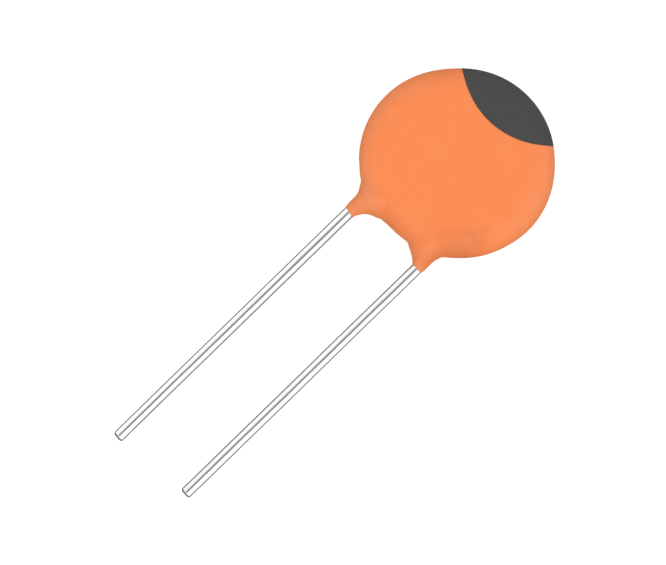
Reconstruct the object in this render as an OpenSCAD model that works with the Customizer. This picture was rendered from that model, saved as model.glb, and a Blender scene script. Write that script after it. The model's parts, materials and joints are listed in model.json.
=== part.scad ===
// Ceramic disc capacitor with two radial leads, lying flat on the back of its coated disc.
// Origin: centre of the disc, on the surface that it lies on.
// +Z goes up through the disc, +Y to the marked tip, and the leads run to -Y. Millimetres.

/* [Ceramic and electrodes] */
// Diameter of the ceramic disc
ceramic_d = 8.4; // [8:0.1:11]
// Thickness of the ceramic disc
ceramic_t = 1.1; // [0.8:0.05:1.8]
// Thickness of each silver electrode
electrode_t = 0.03; // [0.02:0.01:0.06]
// Bare ring of ceramic outside each electrode
electrode_margin = 0.4; // [0.2:0.05:0.6]

/* [Leads] */
// Diameter of the tinned wire
wire_d = 0.7; // [0.5:0.05:0.85]
// Distance between the two leads, centre to centre
lead_pitch = 5; // [4.2:0.1:6]
// Sideways shift of the pair from the disc's centre
lead_shift = 0.18; // [0:0.02:0.3]
// Bare length of each lead, from the coating's tail to the cut end
lead_free = 18.42; // [5:0.1:30]
// Radius of the two bends inside the coating, at the wire's centre
bend_r = 0.75; // [0.6:0.05:0.9]
// Bevel at each cut end
tip_bevel = 0.06; // [0.02:0.01:0.1]
// How far each lead runs on past the middle of its solder joint
wire_overrun = 0.5; // [0.2:0.1:0.8]
// Gap between a lead's upper bend and the rim of the ceramic
rim_gap = 0.1; // [0.05:0.05:0.2]

/* [Solder] */
// Solder between the wire and the electrode
solder_film = 0.04; // [0.02:0.01:0.08]
// Solder over the top of the wire
solder_cover = 0.08; // [0.04:0.02:0.2]
// Bare silver left outside each solder joint
solder_edge = 0.1; // [0.05:0.05:0.3]

/* [Resin coating] */
// Resin outside the rim of the ceramic
rim_coat = 1.375; // [1.1:0.025:1.6]
// Resin over the top of each solder joint
face_coat = 0.25; // [0.2:0.05:0.5]
// How far the coating's edge is set back between the leads
bridge_setback = 0.4; // [0.2:0.05:0.5]
// How far the coating runs down the left lead, past the edge of the disc
left_tail = 0.7; // [0.3:0.05:1]
// How far the coating runs down the right lead, past the edge of the disc
right_tail = 0.22; // [0.15:0.01:1]
// Radius of the outer flare where the left tail leaves the disc
left_flare = 0.88; // [0.4:0.02:1]
// Radius of the outer flare where the right tail leaves the disc
right_flare = 0.45; // [0.3:0.05:0.8]
// Least resin round the buried wire, and at the end of a tail
tail_lip = 0.03; // [0.02:0.01:0.04]
// Resin round the wire where the flares start
tail_skin = 0.06; // [0.05:0.01:0.12]

/* [Tip mark] */
// How far the mark reaches in from the top of the disc
mark_reach = 2.55; // [1.5:0.05:3]
// Radius of the mark's curved border
mark_r = 4.82; // [3.5:0.02:8]
// Sideways shift of the mark's border
mark_shift = -0.57; // [-1:0.01:1]
// Thickness of the paint, which is let in flush
mark_t = 0.04; // [0.02:0.01:0.08]

/* [Hidden] */
$fn = 96;

// Which way each lead and each face lies
left = -1;
right = 1;
front = 1;
back = -1;

ceramic_r = ceramic_d / 2;
electrode_r = ceramic_r - electrode_margin;
wire_r = wire_d / 2;

// The stack through the disc, from its middle plane outwards
electrode_top = ceramic_t / 2 + electrode_t;
solder_h = solder_film + wire_d + solder_cover;
body_t = 2 * (electrode_top + solder_h + face_coat);
body_r = ceramic_r + rim_coat;
edge_r = body_t / 2;
mid_z = body_t / 2;
bridge_y = -(body_r - bridge_setback);

// How far a lead climbs from the middle plane to lie on its face of the ceramic
wire_rise = electrode_top + solder_film + wire_r;

// A joint is as wide as the silver beside the further lead lets it be
solder_r = electrode_r - lead_pitch / 2 - abs(lead_shift) - solder_edge;
solder_ball_r = (solder_r * solder_r + solder_h * solder_h) / (2 * solder_h);

// How deep webs and tails reach into the disc, and how far flares overlap it
web_bite = 0.6;
flare_bite = 0.02;
// The web between a tail and its flares is thinner than the flares' round edges
web_share = 0.8;
// How far a cutting shape runs past what it cuts
over = 1;

function lead_x(side) = lead_shift + side * lead_pitch / 2;
function tail(side) = side == left ? left_tail : right_tail;
function flare(side) = side == left ? left_flare : right_flare;
function tail_y(side) = -(body_r + tail(side));
// Where the lead reaches its face, just outside the rim of the ceramic
function face_y(side) = -sqrt(pow(ceramic_r, 2) - pow(lead_x(side), 2)) - rim_gap;
// The jog starts at the end of the tail: two bends, and the straight slope that is tangent to both.
// At its gentlest it takes the whole way to the rim of the ceramic
function jog_run(side) = face_y(side) - tail_y(side);
function gentlest_jog(side) = atan2(wire_rise - 2 * bend_r, jog_run(side))
    + asin(2 * bend_r / norm([jog_run(side), wire_rise - 2 * bend_r]));
// Turns come out with six decimals in their sine and cosine, so the jog is a hair steeper:
// the next angle that loses next to nothing by that, and the bent pieces of a lead meet exactly
angle_step = 0.001;
decimals = 1e6;
loss_limit = 0.06;
function loss(value) = abs(value * decimals - round(value * decimals));
function settled(angle) = loss(sin(angle)) + loss(cos(angle)) < loss_limit ? angle : settled(angle + angle_step);
function jog_angle(side) = settled(ceil(gentlest_jog(side) / angle_step) * angle_step);
function jog_slope(angle) = (wire_rise - 2 * bend_r * (1 - cos(angle))) / sin(angle);
function jog_reach(angle) = 2 * bend_r * sin(angle) + jog_slope(angle) * cos(angle);

// Lays a drawing of a lead in the upright plane through it: X becomes +Y, and Y becomes the face's side
module lead_plane(side, face) {
    translate([lead_x(side), 0, mid_z])
        rotate([90, 0, 90])
            mirror([0, face == back ? 1 : 0, 0])
                children();
}

module straight(length, r) {
    rotate([0, 90, 0])
        cylinder(r = r, h = length);
}

// Bends a rod of radius r up (turn 1) or down (turn -1), and carries on from the end of the bend
module bend(turn, angle, r) {
    translate([0, turn * bend_r, 0]) {
        rotate([0, 0, turn > 0 ? -90 : 90 - angle])
            rotate_extrude(angle = angle)
                translate([bend_r, 0])
                    circle(r = r);
        rotate([0, 0, turn * angle])
            translate([0, -turn * bend_r, 0])
                children();
    }
}

// A rod of radius r along the buried part of a lead: the jog, and the run along one face of the ceramic
module buried_rod(side, face, r) {
    angle = jog_angle(side);
    slope = jog_slope(angle);
    lead_plane(side, face)
        translate([tail_y(side), 0, 0])
            bend(1, angle, r) {
                straight(slope, r);
                translate([slope, 0, 0])
                    bend(-1, angle, r)
                        straight(wire_overrun - tail_y(side) - jog_reach(angle), r);
            }
}

// One tinned wire: a straight leg in the middle plane up to the coating's tail, and the buried part
module lead(side, face) {
    leg = lead_free - tip_bevel;
    buried_rod(side, face, wire_r);
    lead_plane(side, face)
        translate([tail_y(side) - leg, 0, 0]) {
            straight(leg, wire_r);
            rotate([0, -90, 0])
                cylinder(r1 = wire_r, r2 = wire_r - tip_bevel, h = tip_bevel);
        }
}

// A dome of solder on the electrode, without the wire that it holds
module solder_dome(side, face) {
    lead_plane(side, face)
        translate([0, electrode_top, 0])
            rotate([-90, 0, 0])
                rotate_extrude()
                    intersection() {
                        translate([0, solder_h - solder_ball_r])
                            circle(r = solder_ball_r);
                        square([2 * solder_ball_r, solder_h + over]);
                    }
}

module electrode(face) {
    translate([0, 0, face == front ? mid_z + ceramic_t / 2 : mid_z - electrode_top])
        cylinder(r = electrode_r, h = electrode_t);
}

module ceramic() {
    translate([0, 0, mid_z - ceramic_t / 2])
        cylinder(r = ceramic_r, h = ceramic_t);
}

// The disc of resin with its full round rim, made smaller all over by inset
module rounded_disc(inset = 0) {
    rotate_extrude()
        union() {
            translate([0, inset])
                square([body_r - edge_r, body_t - 2 * inset]);
            translate([body_r - edge_r, mid_z])
                circle(r = edge_r - inset);
        }
}

// Everything on the near side of the bridge, with the same round edge as the disc
module bridge_side() {
    width = 2 * (body_r + over);
    translate([-width / 2, bridge_y + edge_r, mid_z]) {
        straight(width, edge_r);
        translate([0, 0, -edge_r - over])
            cube([width, 2 * body_r + over, 2 * (edge_r + over)]);
    }
}

// The round-edged web that fills the corner between a tail and the disc.
// hub is the centre of the flare's hollow curve, r its radius, and toward the angle to the disc.
module flare_web(side, hub, r, toward) {
    tube_r = wire_r + tail_skin;
    x = lead_x(side);
    beside = hub[0] < x ? 0 : 180;
    root = hub + (r + web_bite) * [cos(toward), sin(toward)];
    translate([hub[0], hub[1], mid_z])
        rotate([0, 0, min(beside, toward)])
            rotate_extrude(angle = abs(beside - toward))
                translate([r + tube_r, 0])
                    circle(r = tube_r);
    translate([0, 0, mid_z - web_share * tube_r])
        linear_extrude(height = 2 * web_share * tube_r)
            difference() {
                polygon([hub, [x, hub[1]], [x, root[1]], root]);
                translate(hub)
                    circle(r = r + tube_r);
            }
}

// The coating that runs down one lead, with a flare to the disc on either side
module lead_tail(side, face) {
    tube_r = wire_r + tail_skin;
    inner_r = bridge_y - tail_y(side);
    inner_x = lead_x(side) - side * (tube_r + inner_r);
    outer_r = flare(side);
    outer_x = lead_x(side) + side * (tube_r + outer_r);
    outer_y = -sqrt(pow(body_r + outer_r - flare_bite, 2) - pow(outer_x, 2));
    buried_rod(side, face, wire_r + tail_lip);
    flare_web(side, [inner_x, tail_y(side)], inner_r + flare_bite, 90);
    flare_web(side, [outer_x, outer_y], outer_r, atan2(-outer_y, -outer_x));
}

// The painted tip, as deep as its paint
module painted_tip() {
    intersection() {
        difference() {
            rounded_disc();
            rounded_disc(mark_t);
        }
        translate([mark_shift, body_r - mark_reach + mark_r, -over])
            cylinder(r = mark_r, h = body_t + 2 * over);
    }
}

module resin_coating() {
    color("#FB8F55")
        difference() {
            union() {
                intersection() {
                    rounded_disc();
                    bridge_side();
                }
                lead_tail(left, front);
                lead_tail(right, back);
            }
            painted_tip();
            ceramic();
            electrode(front);
            electrode(back);
            solder_dome(left, front);
            solder_dome(right, back);
            lead(left, front);
            lead(right, back);
        }
}

module tip_mark() {
    color("#4D4D4D")
        painted_tip();
}

module ceramic_disc() {
    color("#B98A63")
        ceramic();
}

module front_electrode() {
    color("#D9D9D4")
        electrode(front);
}

module back_electrode() {
    color("#D9D9D4")
        electrode(back);
}

module front_solder() {
    color("#A4A8AD")
        difference() {
            solder_dome(left, front);
            lead(left, front);
        }
}

module back_solder() {
    color("#A4A8AD")
        difference() {
            solder_dome(right, back);
            lead(right, back);
        }
}

module left_lead() {
    color("#C9CBCE")
        lead(left, front);
}

module right_lead() {
    color("#C9CBCE")
        lead(right, back);
}

resin_coating();
tip_mark();
ceramic_disc();
front_electrode();
back_electrode();
front_solder();
back_solder();
left_lead();
right_lead();
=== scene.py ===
import json
import math

import bmesh
import bpy
from mathutils import Matrix, Vector, noise


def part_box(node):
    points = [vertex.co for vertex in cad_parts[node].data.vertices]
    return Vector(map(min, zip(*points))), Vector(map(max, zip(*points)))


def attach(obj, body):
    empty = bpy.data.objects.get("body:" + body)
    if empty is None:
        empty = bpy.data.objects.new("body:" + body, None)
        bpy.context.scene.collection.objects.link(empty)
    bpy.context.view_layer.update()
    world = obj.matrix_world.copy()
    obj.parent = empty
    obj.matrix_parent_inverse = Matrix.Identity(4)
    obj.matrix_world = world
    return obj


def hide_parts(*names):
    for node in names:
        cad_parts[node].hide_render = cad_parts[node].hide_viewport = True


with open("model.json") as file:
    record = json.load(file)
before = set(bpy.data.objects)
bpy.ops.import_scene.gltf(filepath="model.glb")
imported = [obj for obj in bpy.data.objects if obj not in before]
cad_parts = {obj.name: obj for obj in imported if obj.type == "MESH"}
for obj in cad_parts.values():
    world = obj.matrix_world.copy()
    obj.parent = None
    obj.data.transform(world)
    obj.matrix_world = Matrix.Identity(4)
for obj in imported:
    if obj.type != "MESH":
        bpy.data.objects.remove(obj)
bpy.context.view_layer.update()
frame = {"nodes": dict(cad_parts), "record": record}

mm = 0.001
tiny = 1e-4  # mm, less than any feature

# Pieces are modelled in millimetres and brought to metres at the end, because a voxel under a ten-thousandth
# of Blender's own unit isn't allowed.
coatingLow, coatingHigh = (Vector(corner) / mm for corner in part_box("resin_coating"))
discRadius = (coatingHigh.x - coatingLow.x) / 2
discThickness = coatingHigh.z
middleZ = discThickness / 2
mounts = {mount["name"]: mount for mount in frame["record"]["mounts"]}
leadNames = ("left", "right")


def hexToLinear(code):
    # the sRGB curve, undone
    channels = [int(code[i:i + 2], 16) / 255 for i in (1, 3, 5)]
    return [c / 12.92 if c <= 0.04045 else ((c + 0.055) / 1.055) ** 2.4 for c in channels] + [1.0]


def smoothStep(low, high, value):
    t = min(max((value - low) / (high - low), 0.0), 1.0)
    return t * t * (3 - 2 * t)


def addNode(tree, kind, settings=None, inputs=None, links=None):
    # settings are node properties, inputs are socket values, links feed a socket from another node's output
    node = tree.nodes.new(kind)
    for name, value in (settings or {}).items():
        setattr(node, name, value)
    for name, value in (inputs or {}).items():
        node.inputs[name].default_value = value
    for name, output in (links or {}).items():
        tree.links.new(output, node.inputs[name])
    return node


def newMaterial(name, **values):
    material = bpy.data.materials.new(name)
    material.use_nodes = True
    shader = material.node_tree.nodes["Principled BSDF"]
    for socket, value in values.items():
        shader.inputs[socket.replace("_", " ")].default_value = value
    return material, material.node_tree, shader


def setRamp(node, stops):
    ramp = node.color_ramp
    while len(ramp.elements) < len(stops):
        ramp.elements.new(0.5)
    for element, (place, colour) in zip(ramp.elements, stops):
        element.position = place
        element.color = hexToLinear(colour)


def finishPiece(bm, name, material, cadNode):
    bmesh.ops.transform(bm, matrix=Matrix.Scale(mm, 4), verts=bm.verts)
    for face in bm.faces:
        face.smooth = True
    mesh = bpy.data.meshes.new(name)
    bm.to_mesh(mesh)
    bm.free()
    piece = bpy.data.objects.new(name, mesh)
    bpy.context.scene.collection.objects.link(piece)
    piece.data.materials.append(material)
    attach(piece, "root")
    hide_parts(cadNode)
    return piece


# The camera looks straight down on the disc, and the leads run to the lower left.
camera = {
    "lens": 150.0,  # long, so that the view is nearly parallel
    "sensor": 36.0,
    "frameWidth": 38.0,  # mm across the picture at the middle of the disc
    "centre": (-0.08, -9.75),  # mm, the point that it looks at
    "roll": 45.8,  # degrees
    "clip": 20,  # how many times nearer and further than the disc it still sees
}


def makeCamera():
    data = bpy.data.cameras.new("camera")
    data.lens = camera["lens"]
    data.sensor_width = camera["sensor"]
    distance = camera["frameWidth"] * camera["lens"] / camera["sensor"] * mm
    data.clip_start = distance / camera["clip"]
    data.clip_end = distance * camera["clip"]
    rig = bpy.data.objects.new("camera", data)
    x, y = camera["centre"]
    rig.location = (x * mm, y * mm, middleZ * mm + distance)
    rig.rotation_euler = (0, 0, math.radians(camera["roll"]))
    bpy.context.scene.collection.objects.link(rig)
    bpy.context.scene.camera = rig


makeCamera()
print("camera set")

# sockets of a Mix node that blends colours: its factor, its two colours and what comes out
mixFactor, mixFirst, mixSecond, mixResult = 0, 6, 7, 2


def coatingMaterial():
    # Conformal epoxy, dip-coated and baked: an even orange with faint mottling, fine grain and a satin sheen.
    # Light sinks a little way in, red the furthest.
    material, tree, shader = newMaterial(
        "dipCoatedEpoxy", Roughness=0.5, IOR=1.53,
        Subsurface_Weight=0.12, Subsurface_Radius=(0.6 * mm, 0.25 * mm, 0.1 * mm), Subsurface_Scale=1.0)
    coords = addNode(tree, "ShaderNodeTexCoord")
    place = coords.outputs["Object"]
    # pigment clouds about 2 mm across
    clouds = addNode(tree, "ShaderNodeTexNoise", inputs={"Scale": 0.5 / mm, "Detail": 4.0, "Roughness": 0.6},
                     links={"Vector": place})
    cloudRamp = addNode(tree, "ShaderNodeValToRGB", links={"Fac": clouds.outputs["Fac"]})
    setRamp(cloudRamp, [(0.3, "#FD8744"), (0.7, "#FE8C48")])
    # filler grains, really much finer, drawn about 0.12 mm across so that they show
    grains = addNode(tree, "ShaderNodeTexNoise", inputs={"Scale": 8 / mm, "Detail": 3.0, "Roughness": 0.7},
                     links={"Vector": place})
    grainRamp = addNode(tree, "ShaderNodeValToRGB", links={"Fac": grains.outputs["Fac"]})
    setRamp(grainRamp, [(0.25, "#E9E9E9"), (0.55, "#FFFFFF")])
    mottled = addNode(tree, "ShaderNodeMix", {"data_type": "RGBA", "blend_type": "MULTIPLY"},
                      {mixFactor: 0.35},
                      {mixFirst: cloudRamp.outputs["Color"], mixSecond: grainRamp.outputs["Color"]})
    # paler at the ends of the tails, and painted light and sheen along parts of the rim
    paleAndLit = addNode(tree, "ShaderNodeAttribute", {"attribute_name": "thinResin"})
    paler = addNode(tree, "ShaderNodeMix", {"data_type": "RGBA"}, {mixSecond: hexToLinear("#F3925B")},
                    {mixFactor: paleAndLit.outputs["Fac"], mixFirst: mottled.outputs[mixResult]})
    # parts of the rim get a browner, rougher skin and painted shade, in blotches about 0.6 mm across
    skinAndShade = addNode(tree, "ShaderNodeAttribute", {"attribute_name": "brownSkin"})
    blotches = addNode(tree, "ShaderNodeTexNoise",
                       inputs={"Scale": 1.6 / mm, "Detail": 4.0, "Roughness": 0.65}, links={"Vector": place})
    spread = addNode(tree, "ShaderNodeMapRange", inputs={"From Min": 0.1, "From Max": 0.55},
                     links={"Value": blotches.outputs["Fac"]})
    amount = addNode(tree, "ShaderNodeMath", {"operation": "MULTIPLY"},
                     links={0: skinAndShade.outputs["Fac"], 1: spread.outputs["Result"]})
    # the darker end of this ramp is painted shade, under the rim
    skinAndShadeTone = addNode(tree, "ShaderNodeValToRGB", links={"Fac": skinAndShade.outputs["Fac"]})
    setRamp(skinAndShadeTone, [(0.75, "#DF7633"), (1.0, "#CA6A30")])
    brownedAndShaded = addNode(tree, "ShaderNodeMix", {"data_type": "RGBA"}, links={
        mixFactor: amount.outputs["Value"], mixFirst: paler.outputs[mixResult],
        mixSecond: skinAndShadeTone.outputs["Color"]})
    tree.links.new(brownedAndShaded.outputs[mixResult], shader.inputs["Base Color"])
    bump = addNode(tree, "ShaderNodeBump", inputs={"Strength": 0.25, "Distance": 0.02 * mm},
                   links={"Height": grains.outputs["Fac"]})
    tree.links.new(bump.outputs["Normal"], shader.inputs["Normal"])
    return material


def tipPaintMaterial():
    # Marking paint, dabbed on and air-dried: flat dark grey with a barely uneven film.
    material, tree, shader = newMaterial("flatMarkingPaint", Roughness=0.7, IOR=1.5, Specular_IOR_Level=0.3)
    coords = addNode(tree, "ShaderNodeTexCoord")
    # thick and thin places about 0.3 mm across
    film = addNode(tree, "ShaderNodeTexNoise", inputs={"Scale": 3 / mm, "Detail": 3.0, "Roughness": 0.6},
                   links={"Vector": coords.outputs["Object"]})
    tone = addNode(tree, "ShaderNodeValToRGB", links={"Fac": film.outputs["Fac"]})
    setRamp(tone, [(0.3, "#414142"), (0.7, "#454546")])
    tree.links.new(tone.outputs["Color"], shader.inputs["Base Color"])
    bump = addNode(tree, "ShaderNodeBump", inputs={"Strength": 0.2, "Distance": 0.01 * mm},
                   links={"Height": film.outputs["Fac"]})
    tree.links.new(bump.outputs["Normal"], shader.inputs["Normal"])
    return material


def tinnedWireMaterial():
    # Tinned copper-clad steel wire, drawn and plated: bright silvery white with faint lines along its length.
    material, tree, shader = newMaterial("brightTinnedWire", Metallic=1.0)
    coords = addNode(tree, "ShaderNodeTexCoord")
    # drawing lines, really much finer, a twelfth of a millimetre apart so that they show, and 4 mm long
    stretched = addNode(tree, "ShaderNodeMapping", inputs={"Scale": (12 / mm, 0.25 / mm, 12 / mm)},
                        links={"Vector": coords.outputs["Object"]})
    lines = addNode(tree, "ShaderNodeTexNoise", inputs={"Scale": 1.0, "Detail": 2.0, "Roughness": 0.5},
                    links={"Vector": stretched.outputs["Vector"]})
    tone = addNode(tree, "ShaderNodeValToRGB", links={"Fac": lines.outputs["Fac"]})
    setRamp(tone, [(0.3, "#E6E6E4"), (0.7, "#F4F4F2")])
    tree.links.new(tone.outputs["Color"], shader.inputs["Base Color"])
    gloss = addNode(tree, "ShaderNodeMapRange", inputs={"To Min": 0.16, "To Max": 0.24},
                    links={"Value": lines.outputs["Fac"]})
    tree.links.new(gloss.outputs["Result"], shader.inputs["Roughness"])
    return material


def cutEndMaterial():
    # The same wire where the cutter sheared it: bare steel core, dull grey with fine shear marks.
    material, tree, shader = newMaterial("shearedSteelCore", Metallic=1.0)
    coords = addNode(tree, "ShaderNodeTexCoord")
    # shear marks a thirtieth of a millimetre apart and 0.25 mm long
    stretched = addNode(tree, "ShaderNodeMapping", inputs={"Scale": (30 / mm, 30 / mm, 4 / mm)},
                        links={"Vector": coords.outputs["Object"]})
    marks = addNode(tree, "ShaderNodeTexNoise", inputs={"Scale": 1.0, "Detail": 2.0, "Roughness": 0.5},
                    links={"Vector": stretched.outputs["Vector"]})
    tone = addNode(tree, "ShaderNodeValToRGB", links={"Fac": marks.outputs["Fac"]})
    setRamp(tone, [(0.3, "#727274"), (0.7, "#848484")])
    tree.links.new(tone.outputs["Color"], shader.inputs["Base Color"])
    gloss = addNode(tree, "ShaderNodeMapRange", inputs={"To Min": 0.35, "To Max": 0.5},
                    links={"Value": marks.outputs["Fac"]})
    tree.links.new(gloss.outputs["Result"], shader.inputs["Roughness"])
    return material


def ceramicMaterial():
    # Barium titanate ceramic, pressed and fired: tan, matte, with fine darker grain.
    material, tree, shader = newMaterial("firedTitanateCeramic", Roughness=0.6, IOR=2.0)
    coords = addNode(tree, "ShaderNodeTexCoord")
    # pressed granules about 0.17 mm across
    grain = addNode(tree, "ShaderNodeTexNoise", inputs={"Scale": 6 / mm, "Detail": 5.0, "Roughness": 0.7},
                    links={"Vector": coords.outputs["Object"]})
    tone = addNode(tree, "ShaderNodeValToRGB", links={"Fac": grain.outputs["Fac"]})
    setRamp(tone, [(0.3, "#A87850"), (0.7, "#C29468")])
    tree.links.new(tone.outputs["Color"], shader.inputs["Base Color"])
    return material


def silverMaterial():
    # Fired silver paste, screen-printed: matte white metal with the grain of its paste.
    material, tree, shader = newMaterial("firedSilverPaste", Metallic=1.0)
    coords = addNode(tree, "ShaderNodeTexCoord")
    # the mesh of the screen leaves grain about 0.1 mm across
    grain = addNode(tree, "ShaderNodeTexNoise", inputs={"Scale": 10 / mm, "Detail": 4.0, "Roughness": 0.6},
                    links={"Vector": coords.outputs["Object"]})
    tone = addNode(tree, "ShaderNodeValToRGB", links={"Fac": grain.outputs["Fac"]})
    setRamp(tone, [(0.3, "#CFCFC8"), (0.7, "#E2E2DC")])
    tree.links.new(tone.outputs["Color"], shader.inputs["Base Color"])
    gloss = addNode(tree, "ShaderNodeMapRange", inputs={"To Min": 0.42, "To Max": 0.58},
                    links={"Value": grain.outputs["Fac"]})
    tree.links.new(gloss.outputs["Result"], shader.inputs["Roughness"])
    return material


def solderMaterial():
    # Tin-lead solder, reflowed: grey metal that froze in soft dull patches.
    material, tree, shader = newMaterial("reflowedSolder", Metallic=1.0)
    coords = addNode(tree, "ShaderNodeTexCoord")
    # patches about 0.4 mm across
    patches = addNode(tree, "ShaderNodeTexNoise", inputs={"Scale": 2.5 / mm, "Detail": 3.0, "Roughness": 0.6},
                      links={"Vector": coords.outputs["Object"]})
    tone = addNode(tree, "ShaderNodeValToRGB", links={"Fac": patches.outputs["Fac"]})
    setRamp(tone, [(0.3, "#A3A7AB"), (0.7, "#BFC2C5")])
    tree.links.new(tone.outputs["Color"], shader.inputs["Base Color"])
    gloss = addNode(tree, "ShaderNodeMapRange", inputs={"To Min": 0.28, "To Max": 0.5},
                    links={"Value": patches.outputs["Fac"]})
    tree.links.new(gloss.outputs["Result"], shader.inputs["Roughness"])
    return material


coatingFinish = coatingMaterial()
tipPaintFinish = tipPaintMaterial()
wireFinish = tinnedWireMaterial()
cutEndFinish = cutEndMaterial()
hiddenFinishes = {
    "ceramic_disc": ceramicMaterial(),
    "front_electrode": silverMaterial(),
    "back_electrode": silverMaterial(),
    "front_solder": solderMaterial(),
    "back_solder": solderMaterial(),
}
for nodeName, finish in hiddenFinishes.items():
    frame["nodes"][nodeName].data.materials.clear()
    frame["nodes"][nodeName].data.materials.append(finish)
print("materials made")

lead = {
    "radius": mounts["left_lead_end"]["dims"]["r_mm"],
    "sides": 40,
    "collarSteps": 2,  # short rings by the cut end keep its edge crisp
    "legSteps": 48,
    "bendRadius": 0.75,  # as in the CAD model
    "bendSteps": 6,
    "slopeSteps": 3,
    "faceSteps": 6,
    "rimGap": 0.1,  # mm before the ceramic's rim at which the wire is straight again
    "endBevel": 0.06,  # the edge that the cutter rolled over
    "domeHeight": 0.14,  # the cut end bulges a little
    "domePower": 4,  # the higher, the flatter its middle
    "domeRings": 5,
    "shear": {"left": 0.06, "right": 0.04},  # and is cut slightly askew, in mm per mm across
    "overrun": {"left": 0.08, "right": 0.04},  # mm by which hand cutting missed the CAD length
    "waver": 0.012,  # mm, hand-straightened wire is never quite straight
    "waverPace": 0.22,  # wavers per mm of wire
    "waverFade": 2.0,  # mm outside the coating over which it dies away
    "waverSeed": {"left": 3.0, "right": 11.0},
}

leadX = {name: mounts[name + "_lead_end"]["pos_m"][0] / mm for name in leadNames}
# places along Y: the wire's cut end, its end inside the coating, where the resin's tail ends on it, and where
# it is straight again along the ceramic's face
leadTip = {name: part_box(name + "_lead")[0][1] / mm for name in leadNames}
leadEnd = {name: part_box(name + "_lead")[1][1] / mm for name in leadNames}
leadFree = mounts["left_lead_end"]["dims"]["length_mm"]
tailEnd = {name: leadTip[name] + leadFree for name in leadNames}
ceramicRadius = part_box("ceramic_disc")[1][0] / mm
faceStart = {name: -math.sqrt(ceramicRadius ** 2 - x ** 2) - lead["rimGap"] for name, x in leadX.items()}


def jogOf(name, face):
    # the climb from the middle plane to the ceramic's face, 1 for the front and -1 for the back: two bends of
    # one radius, and the slope between them
    low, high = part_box(name + "_lead")
    outermost = (high if face > 0 else low)[2] / mm
    rise = abs(outermost - middleZ) - lead["radius"]
    run = faceStart[name] - tailEnd[name]
    r = lead["bendRadius"]
    angle = math.atan2(rise - 2 * r, run) + math.asin(2 * r / math.hypot(run, rise - 2 * r))
    slope = math.sqrt(run ** 2 + rise ** 2 - 4 * r * rise)
    return {"face": face, "rise": rise, "angle": angle, "slope": slope,
            "bendRun": r * math.sin(angle), "bendRise": r * (1 - math.cos(angle))}


leadJog = {"left": jogOf("left", 1), "right": jogOf("right", -1)}


def drawOut(bm, edges, offset, steps):
    for _ in range(steps):
        made = bmesh.ops.extrude_edge_only(bm, edges=edges)["geom"]
        verts = [item for item in made if isinstance(item, bmesh.types.BMVert)]
        edges = [item for item in made if isinstance(item, bmesh.types.BMEdge)]
        bmesh.ops.translate(bm, vec=offset / steps, verts=verts)
    return edges


def bendRound(bm, edges, centre, angle):
    made = bmesh.ops.spin(bm, geom=edges, cent=centre, axis=(1, 0, 0), angle=angle,
                          steps=lead["bendSteps"], use_merge=False)["geom_last"]
    return [item for item in made if isinstance(item, bmesh.types.BMEdge)]


def closeCutEnd(bm, edges, start):
    # a small bevel, then rings that close in over a shallow dome and stop half a step short of its middle
    bulge = lead["domeHeight"] - lead["endBevel"]
    for i in range(lead["domeRings"] + 1):
        edges = drawOut(bm, edges, Vector(), 1)  # a new ring on the spot, placed below
        share = (1 - i / (lead["domeRings"] + 0.5)) * (1 - lead["endBevel"] / lead["radius"])
        height = lead["endBevel"] + bulge * (1 - share ** lead["domePower"])
        for v in {v for edge in edges for v in edge.verts}:
            across = v.co - start
            across.y = 0
            v.co = start + across.normalized() * lead["radius"] * share
            v.co.y -= height
    bmesh.ops.holes_fill(bm, edges=edges, sides=0)


def waverWire(bm, name):
    seed = lead["waverSeed"][name]
    for v in bm.verts:
        along = v.co.y * lead["waverPace"]
        sideways = noise.noise(Vector((seed, along, 0)))
        upwards = noise.noise(Vector((seed, along, 7)))  # another slice of the same noise
        free = 1 - smoothStep(tailEnd[name] - lead["waverFade"], tailEnd[name], v.co.y)
        v.co.x += lead["waver"] * free * sideways
        v.co.z += lead["waver"] * free * upwards


def makeLead(name):
    bm = bmesh.new()
    x = leadX[name]
    climb = leadJog[name]
    face, angle, bendRadius = climb["face"], climb["angle"], lead["bendRadius"]
    # a ring stands across the wire at its cut end, and is drawn along +Y into the coating
    start = Vector((x, leadTip[name] + lead["domeHeight"] - lead["overrun"][name], middleZ))
    bmesh.ops.create_circle(bm, segments=lead["sides"], radius=lead["radius"],
                            matrix=Matrix.Translation(start) @ Matrix.Rotation(math.pi / 2, 4, "X"))
    firstRing = list(bm.edges)
    collar = lead["radius"] / 2
    edges = drawOut(bm, firstRing, Vector((0, collar, 0)), lead["collarSteps"])
    edges = drawOut(bm, edges, Vector((0, tailEnd[name] - start.y - collar, 0)), lead["legSteps"])
    hub = (x, tailEnd[name], middleZ + face * bendRadius)
    edges = bendRound(bm, edges, hub, face * angle)
    slope = Vector((0, math.cos(angle), face * math.sin(angle))) * climb["slope"]
    edges = drawOut(bm, edges, slope, lead["slopeSteps"])
    hub = (x, faceStart[name], middleZ + face * (climb["rise"] - bendRadius))
    edges = bendRound(bm, edges, hub, -face * angle)
    edges = drawOut(bm, edges, Vector((0, leadEnd[name] - faceStart[name], 0)), lead["faceSteps"])
    bmesh.ops.holes_fill(bm, edges=edges, sides=0)

    tinned = set(bm.faces)
    closeCutEnd(bm, firstRing, start)
    for cutFace in set(bm.faces) - tinned:
        cutFace.material_index = 1
    for v in bm.verts:
        if v.co.y < start.y + tiny:
            v.co.y += lead["shear"][name] * (x + lead["radius"] - v.co.x)
    bmesh.ops.recalc_face_normals(bm, faces=bm.faces)
    waverWire(bm, name)
    piece = finishPiece(bm, name + "Lead", wireFinish, name + "_lead")
    piece.data.materials.append(cutEndFinish)


for leadName in leadNames:
    makeLead(leadName)
print("leads made")

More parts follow.
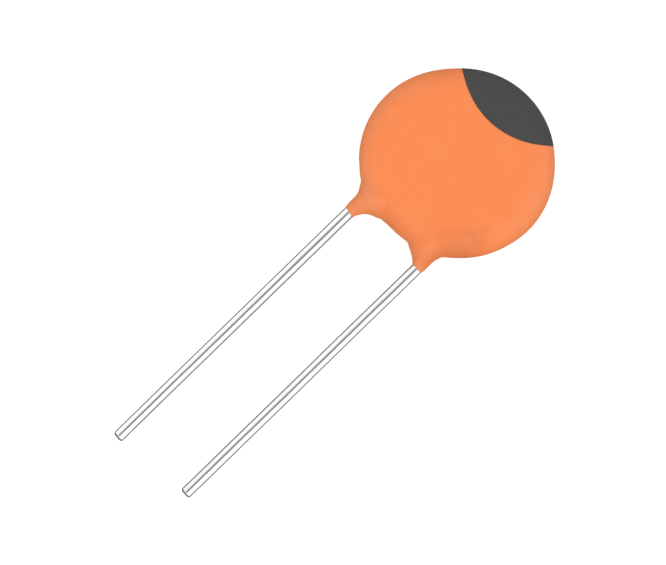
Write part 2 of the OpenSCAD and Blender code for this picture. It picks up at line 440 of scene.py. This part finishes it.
coating = {
    "facets": 160,
    "rimBevel": 1.6,  # how far in the round of the rim starts
    "rimSteps": 12,
    "setBack": 0.35,  # the edge between the leads lies inside the circle
    "setBackFrom": 3.2,  # mm from the disc's middle towards the leads where that begins
    "setBackPower": 1.3,  # the higher, the more gently it begins
    "tailLip": 0.03,  # resin over the wire at the end of a tail
    "tailSkin": 0.06,  # and where the flares start
    "lipLength": 0.6,
    "lipSides": 32,
    "lipClimb": 0.6,  # how much of the wire's climb the lip follows
    "outerFlare": {"left": 0.88, "right": 0.45},  # radius
    "innerFlare": {"left": 1.6, "right": 4.0},
    "innerHub": {"left": (1.8, -0.57), "right": (-3.02, -2.95)},  # from the end of the tail
    "ballStep": 0.06,
    "ballDetail": 4,
    "ballsStop": -4.15,  # y where the tails are well inside the disc
    "halvings": 30,  # of the search for a tail's middle
    "rootHeight": 1.5,  # how thick a tail is, from its middle, where it leaves the disc
    "faceClearance": 0.05,  # how far inside the disc's faces the balls stay
    "voxel": 0.07,
    "smoothing": 8,  # rounds
    "smoothFactor": 0.5,
    "smoothTo": -5.9,  # y past which the thin ends of the tails are left alone, or they would shrink
    "faceWaves": 0.02,  # slow unevenness of the dipped face
    "backWaves": 0.01,
    "waveLength": 3.2,
    "waveFade": (0.3, 0.95),  # shares of the radius between which it dies away
    "slant": {"left": -0.2, "right": -0.12},  # how far a tail's end runs down on one side
    "slantFade": (0.1, 0.7),  # mm up the tail between which that dies away
    # slow bumps and flats of the rim: direction in degrees from +X towards +Y, half width, mm outwards
    "rimShape": [
        (5, 14, 0.04), (28, 18, 0.05), (62, 14, 0.02), (80, 30, 0.07), (138, 22, -0.1), (192, 28, 0.08),
        (235, 6, 0.11), (262, 4, 0.08), (-56, 9, 0.06), (-45, 15, -0.15), (-22, 24, -0.11),
    ],
    "rimShapeFrom": 0.45,  # share of the radius where they set in
    "rimShapeFade": (5.2, 5.8),  # mm from the disc's middle towards the leads where they die away
    # where the skin came out browner in places, and painted shade where the rim turns down and under:
    # direction, half width, how much, and the shares of the radius between which it grows to that. Past 0.75
    # it turns dark: painted shade under the rim
    "browning": [
        (143, 17, 0.33, 0.74, 0.96), (-46, 17, 0.7, 0.6, 0.82), (-29, 11, 0.42, 0.64, 0.76),
        (-22, 10, -0.5, 0.82, 0.94), (-90, 20, 0.45, 0.68, 0.9), (-47, 10, 0.3, 0.93, 0.985),
    ],
    # painted light and sheen, which make the rim paler: the same five numbers
    "paling": [
        (22, 36, 0.45, 0.7, 0.92), (-115, 16, 0.6, 0.8, 0.94), (-72, 14, 0.45, 0.78, 0.98),
        (192, 46, 0.5, 0.86, 0.98),
    ],
    "palingOfTail": 0.9,  # mm of each tail's end that are paler too
}
tubeRadius = lead["radius"] + coating["tailSkin"]


def addDisc(bm):
    bmesh.ops.create_cone(bm, cap_ends=True, segments=coating["facets"], radius1=discRadius,
                          radius2=discRadius, depth=discThickness, matrix=Matrix.Translation((0, 0, middleZ)))
    rims = [edge for edge in bm.edges if abs(edge.verts[0].co.z - edge.verts[1].co.z) < tiny]
    bmesh.ops.bevel(bm, geom=rims, offset=coating["rimBevel"], offset_type="OFFSET", affect="EDGES",
                    segments=coating["rimSteps"], profile=0.5, material=-1)
    for v in bm.verts:
        between = smoothStep(coating["setBackFrom"], discRadius, -v.co.y)
        v.co.y += coating["setBack"] * between ** coating["setBackPower"]


def wireRise(name, y):
    # how far the lead has climbed from the middle plane at y
    climb = leadJog[name]
    along = y - tailEnd[name]
    if along <= climb["bendRun"]:
        return climb["face"] * (lead["bendRadius"] - math.sqrt(max(lead["bendRadius"] ** 2 - along ** 2, 0)))
    straight = (along - climb["bendRun"]) * math.tan(climb["angle"])
    return climb["face"] * min(climb["bendRise"] + straight, climb["rise"])


def addLip(bm, name):
    # a short cone grips the wire at the end of the tail
    middle = Matrix.Translation((leadX[name], tailEnd[name] + coating["lipLength"] / 2, middleZ))
    lip = bmesh.ops.create_cone(bm, cap_ends=True, segments=coating["lipSides"],
                                radius1=lead["radius"] + coating["tailLip"], radius2=tubeRadius,
                                depth=coating["lipLength"],
                                matrix=middle @ Matrix.Rotation(-math.pi / 2, 4, "X"))["verts"]
    for v in lip:
        v.co.z += wireRise(name, v.co.y) * coating["lipClimb"]


def flaresOf(name):
    # the two round hollows beside a tail, as hub and radius: first the one between the leads
    side = -1 if name == "left" else 1
    innerHub = Vector((leadX[name], tailEnd[name])) + Vector(coating["innerHub"][name])
    outerRadius = coating["outerFlare"][name]
    outerX = leadX[name] + side * (tubeRadius + outerRadius)
    outerHub = Vector((outerX, -math.sqrt((discRadius + outerRadius) ** 2 - outerX ** 2)))
    return (innerHub, coating["innerFlare"][name]), (outerHub, outerRadius)


def roomBeside(flare, place):
    # from its hub downwards, a hollow has a straight side
    hub, radius = flare
    reach = (place - hub).length if place.y > hub.y else abs(place.x - hub.x)
    return reach - radius


def middleOf(flares, y):
    # the point at y that is equally far from both hollows
    inner, outer = flares[0][0].x, flares[1][0].x
    for _ in range(coating["halvings"]):
        x = (inner + outer) / 2
        if roomBeside(flares[0], Vector((x, y))) < roomBeside(flares[1], Vector((x, y))):
            inner = x
        else:
            outer = x
    return Vector((x, y))


def addTail(bm, name):
    # Balls laid along the tail, each as wide as the room between its two hollows, make a smooth round root.
    flares = flaresOf(name)
    y = tailEnd[name] + tubeRadius
    while y < coating["ballsStop"]:
        middle = middleOf(flares, y)
        width = roomBeside(flares[0], middle)
        deep = smoothStep(tailEnd[name], coating["ballsStop"], y)
        height = min(width, coating["rootHeight"]) + max(coating["rootHeight"] - width, 0) * deep
        headroom = middleZ - coating["faceClearance"] - height
        lift = max(min(abs(wireRise(name, y)) * (1 - deep), headroom), 0)
        place = Matrix.Translation((middle.x, y, middleZ + leadJog[name]["face"] * lift))
        bmesh.ops.create_icosphere(bm, subdivisions=coating["ballDetail"], radius=width,
                                   matrix=place @ Matrix.Scale(height / width, 4, (0, 0, 1)))
        y += coating["ballStep"]


def voxelRemeshed(bm, size):
    mesh = bpy.data.meshes.new("scratch")
    bm.to_mesh(mesh)
    bm.free()
    scratch = bpy.data.objects.new("scratch", mesh)
    bpy.context.scene.collection.objects.link(scratch)
    remesh = scratch.modifiers.new("remesh", "REMESH")
    remesh.mode = "VOXEL"
    remesh.voxel_size = size
    graph = bpy.context.evaluated_depsgraph_get()
    result = bmesh.new()
    result.from_mesh(scratch.evaluated_get(graph).to_mesh())
    bpy.data.objects.remove(scratch)
    bpy.data.meshes.remove(mesh)
    return result


def sideOf(v):
    return "left" if v.co.x < 0 else "right"


def aroundRim(angle, bumps):
    total = 0.0
    for centre, width, amount in bumps:
        away = (math.degrees(angle) - centre + 180) % 360 - 180
        total += amount * math.exp(-(away / width) ** 2)
    return total


def shapeByHand(bm):
    # what dipping does: a rim that isn't a true circle, slow waves on the faces and slanted tail ends
    slantNear, slantFar = coating["slantFade"]
    for v in bm.verts:
        reach = math.hypot(v.co.x, v.co.y)
        if reach > tiny:
            out = aroundRim(math.atan2(v.co.y, v.co.x), coating["rimShape"])
            out *= smoothStep(coating["rimShapeFrom"], 1.0, reach / discRadius)
            out *= 1 - smoothStep(*coating["rimShapeFade"], -v.co.y)
            v.co.x += v.co.x * out / reach
            v.co.y += v.co.y * out / reach
        onFace = 1 - smoothStep(*coating["waveFade"], reach / discRadius)
        wave = noise.noise(Vector((v.co.x, v.co.y, 0)) / coating["waveLength"])
        if v.co.z > middleZ:
            v.co.z += onFace * coating["faceWaves"] * (wave - 1)
        else:
            v.co.z += onFace * coating["backWaves"] * max(wave, 0)
        name = sideOf(v)
        atEnd = 1 - smoothStep(tailEnd[name] + slantNear, tailEnd[name] + slantFar, v.co.y)
        v.co.y += atEnd * coating["slant"][name] * (v.co.x - leadX[name])


# the rim's patches summed: browner skin with painted shade, or painted light and sheen
def rimPatchesAt(v, patches):
    reach = math.hypot(v.co.x, v.co.y) / discRadius
    angle = math.atan2(v.co.y, v.co.x)
    total = 0.0
    for centre, width, amount, begins, grown in patches:
        total += aroundRim(angle, [(centre, width, amount)]) * smoothStep(begins, grown, reach)
    return min(total, 1.0)


def makeCoating():
    bm = bmesh.new()
    addDisc(bm)
    for name in leadNames:
        addLip(bm, name)
        addTail(bm, name)
    bm = voxelRemeshed(bm, coating["voxel"])
    for _ in range(coating["smoothing"]):
        loose = [v for v in bm.verts if v.co.y > coating["smoothTo"]]
        bmesh.ops.smooth_vert(bm, verts=loose, factor=coating["smoothFactor"],
                              use_axis_x=True, use_axis_y=True, use_axis_z=True)
    shapeByHand(bm)
    paleAndLitLayer = bm.verts.layers.float.new("thinResin")
    brownAndShadeLayer = bm.verts.layers.float.new("brownSkin")
    for v in bm.verts:
        end = tailEnd[sideOf(v)]
        atEnd = 1 - smoothStep(end, end + coating["palingOfTail"], v.co.y)
        # paler tail ends, and painted light and sheen on the rim
        v[paleAndLitLayer] = max(atEnd, rimPatchesAt(v, coating["paling"]))
        # browner skin, and painted shade on the rim
        v[brownAndShadeLayer] = rimPatchesAt(v, coating["browning"])
    return bm


coatingBm = makeCoating()
print("coating shaped:", len(coatingBm.faces), "faces")

tipMark = {
    "centre": (-0.63, 7.81),  # middle of the border's curve, beyond the top of the disc
    "radius": 4.89,
    "margin": 0.3,  # mm past the border that the copied surface is kept before the cuts
    "cuts": 48,
    "cutHalfAngle": 58,  # degrees either side of straight down
    "film": 0.04,
    "proud": 0.012,  # how far the paint stands over the resin
}


def makeTipMark(source):
    # a copy of the coating's own surface, cut along the border
    bm = source.copy()
    cx, cy = tipMark["centre"]
    reach = tipMark["radius"] + tipMark["margin"]
    far = [v for v in bm.verts if math.hypot(v.co.x - cx, v.co.y - cy) > reach]
    bmesh.ops.delete(bm, geom=far, context="VERTS")
    for i in range(tipMark["cuts"] + 1):
        angle = math.radians(-90 + tipMark["cutHalfAngle"] * (2 * i / tipMark["cuts"] - 1))
        out = Vector((math.cos(angle), math.sin(angle), 0))
        bmesh.ops.bisect_plane(bm, geom=bm.verts[:] + bm.edges[:] + bm.faces[:],
                               plane_co=Vector((cx, cy, 0)) + out * tipMark["radius"], plane_no=out,
                               clear_outer=True)
    bm.normal_update()
    for v in bm.verts:
        v.co += v.normal * tipMark["proud"]
    bmesh.ops.solidify(bm, geom=bm.faces[:], thickness=tipMark["film"])
    finishPiece(bm, "tipMark", tipPaintFinish, "tip_mark")


makeTipMark(coatingBm)
finishPiece(coatingBm, "coating", coatingFinish, "resin_coating")
print("tip mark and coating made")

# in metres, unlike the pieces
studio = {
    "floorSize": 1.2,
    "floorDrop": 0.03 * mm,  # the paint and the resin rest just clear of it
    "paper": "#D9D9D9",
    "glow": "#FFFFFF",  # of the paper
    "glowStrength": 0.62,
    # tones by height, from 0 straight below to 1 overhead: the light that falls, then what gloss mirrors
    "tent": [(0.44, "#D4D4D4"), (0.54, "#FFFFFF")],
    "tentStrength": 0.93,
    "mirrored": [(0.32, "#767676"), (0.44, "#FFFFFF"), (0.93, "#FFFFFF"), (0.972, "#8C8C8C")],
    "mirrorStrength": 1.2,
    "keyPower": 0.11,
    "keySize": 0.2,
    "keyPlace": (0.17, -0.09, 0.22),
}


def makeFloor():
    bm = bmesh.new()
    bmesh.ops.create_grid(bm, x_segments=1, y_segments=1, size=studio["floorSize"] / 2,
                          matrix=Matrix.Translation((0, 0, -studio["floorDrop"])))
    mesh = bpy.data.meshes.new("floor")
    bm.to_mesh(mesh)
    bm.free()
    floor = bpy.data.objects.new("floor", mesh)
    bpy.context.scene.collection.objects.link(floor)
    # White paper, matte and lit from behind, so that it sinks into the tent around it.
    paper = newMaterial(
        "whitePaperSweep", Roughness=0.9, Specular_IOR_Level=0.1, Base_Color=hexToLinear(studio["paper"]),
        Emission_Color=hexToLinear(studio["glow"]), Emission_Strength=studio["glowStrength"])[0]
    mesh.materials.append(paper)
    floor.visible_diffuse = False  # the tent, and not the paper, lights the undersides
    floor.visible_glossy = False


def makeSky():
    # One big soft tent of light, dimmer below the horizon. Bright metal sees it with a grey opening
    # right overhead and a grey table below, so it gets a soft line along its middle and at its edges.
    world = bpy.data.worlds.new("lightTent")
    bpy.context.scene.world = world
    world.use_nodes = True
    tree = world.node_tree
    tree.nodes.clear()
    coords = addNode(tree, "ShaderNodeTexCoord")
    height = addNode(tree, "ShaderNodeSeparateXYZ", links={"Vector": coords.outputs["Generated"]})
    share = addNode(tree, "ShaderNodeMapRange", inputs={"From Min": -1.0, "From Max": 1.0},
                    links={"Value": height.outputs["Z"]})
    tent = addNode(tree, "ShaderNodeValToRGB", links={"Fac": share.outputs["Result"]})
    setRamp(tent, studio["tent"])
    mirrored = addNode(tree, "ShaderNodeValToRGB", links={"Fac": share.outputs["Result"]})
    setRamp(mirrored, studio["mirrored"])
    tentLight = addNode(tree, "ShaderNodeBackground", inputs={"Strength": studio["tentStrength"]},
                        links={"Color": tent.outputs["Color"]})
    mirrorLight = addNode(tree, "ShaderNodeBackground", inputs={"Strength": studio["mirrorStrength"]},
                          links={"Color": mirrored.outputs["Color"]})
    rays = addNode(tree, "ShaderNodeLightPath")
    both = addNode(tree, "ShaderNodeMixShader", links={"Fac": rays.outputs["Is Glossy Ray"],
                                                       1: tentLight.outputs["Background"],
                                                       2: mirrorLight.outputs["Background"]})
    addNode(tree, "ShaderNodeOutputWorld", links={"Surface": both.outputs["Shader"]})


def makeKeyLight():
    data = bpy.data.lights.new("keyLight", "AREA")
    data.shape = "DISK"
    data.size = studio["keySize"]
    data.energy = studio["keyPower"]
    lamp = bpy.data.objects.new("keyLight", data)
    lamp.location = studio["keyPlace"]
    lamp.rotation_euler = (-lamp.location).to_track_quat("-Z", "Y").to_euler()
    bpy.context.scene.collection.objects.link(lamp)


makeFloor()
makeSky()
makeKeyLight()
bpy.context.scene.view_settings.view_transform = "Standard"
print("studio set")
